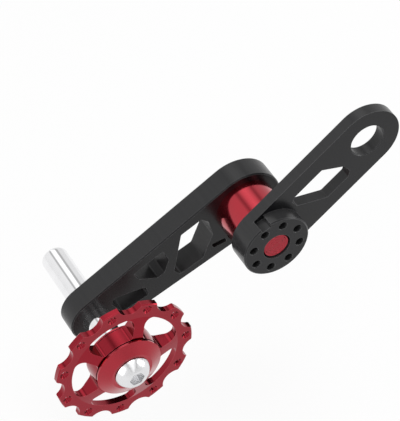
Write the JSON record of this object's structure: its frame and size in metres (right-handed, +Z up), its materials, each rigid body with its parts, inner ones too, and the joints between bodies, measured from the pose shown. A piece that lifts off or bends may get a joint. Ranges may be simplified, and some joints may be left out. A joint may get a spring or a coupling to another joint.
{
  "type": "bicycle chain tensioner",
  "caption": "Sprung chain tensioner: a fixed hanger arm, a swing arm with cut-out windows, and a toothed guide wheel on a sliding shaft.",
  "frame": {"origin": "centre of the hanger hole on the face that seats on the bicycle's hanger", "axes": "+Y along the hanger hole, outboard; +Z up; +X to the rear of the bicycle"},
  "size_m": [0.1088, 0.0528, 0.0767],
  "materials": {
    "black_anodised": "satin",
    "red_anodised": "satin",
    "polished_steel": "polished",
    "turned_steel": "turned",
    "black_steel": "blackened",
    "spring_steel": "drawn",
    "bronze": "turned"
  },
  "bodies": {
    "hanger": {"hanger_arm": "black_anodised", "pivot_bush": "bronze"},
    "swing": {"swing_arm": "black_anodised", "spring_drum": "red_anodised", "torsion_spring": "spring_steel", "core_sleeve": "turned_steel", "thrust_washer": "bronze", "stop_pin": "turned_steel", "drive_pins": "turned_steel", "pivot_spindle": "red_anodised", "pivot_washer": "turned_steel", "pivot_screw": "black_steel", "shaft_set_screw": "black_steel"},
    "shaft": {"guide_shaft": "polished_steel", "front_dust_cover": "red_anodised", "rear_dust_cover": "red_anodised", "bearing_inner_ring": "polished_steel", "wheel_screw": "polished_steel"},
    "wheel": {"guide_wheel": "red_anodised", "bearing_outer_ring": "polished_steel", "front_bearing_shield": "turned_steel", "rear_bearing_shield": "turned_steel"},
    "balls": {"bearing_balls": "polished_steel", "ball_cage": "turned_steel"}
  },
  "joints": [
    {"name": "arm_swing", "type": "hinge", "parent": "hanger", "child": "swing", "pos_m": [-0.03023, 0, -0.02319], "axis": [0, 1, 0], "range_deg": [0, 100], "stiffness_Nm_per_rad": 0.5, "springref_deg": -51.57, "deforming": ["torsion_spring"]},
    {"name": "shaft_slide", "type": "slide", "parent": "swing", "child": "shaft", "axis": [0, 1, 0], "range_m": [-0.014, 0.009]},
    {"name": "wheel_spin", "type": "hinge", "parent": "shaft", "child": "wheel", "pos_m": [-0.07773, -0.0027, -0.04555], "axis": [0, 1, 0], "continuous": true},
    {"name": "cage_spin", "type": "hinge", "parent": "shaft", "child": "balls", "pos_m": [-0.07773, -0.0027, -0.04555], "axis": [0, 1, 0], "continuous": true}
  ],
  "couplings": [
    {"joint": "cage_spin", "follows": "wheel_spin", "ratio": 0.6238}
  ]
}
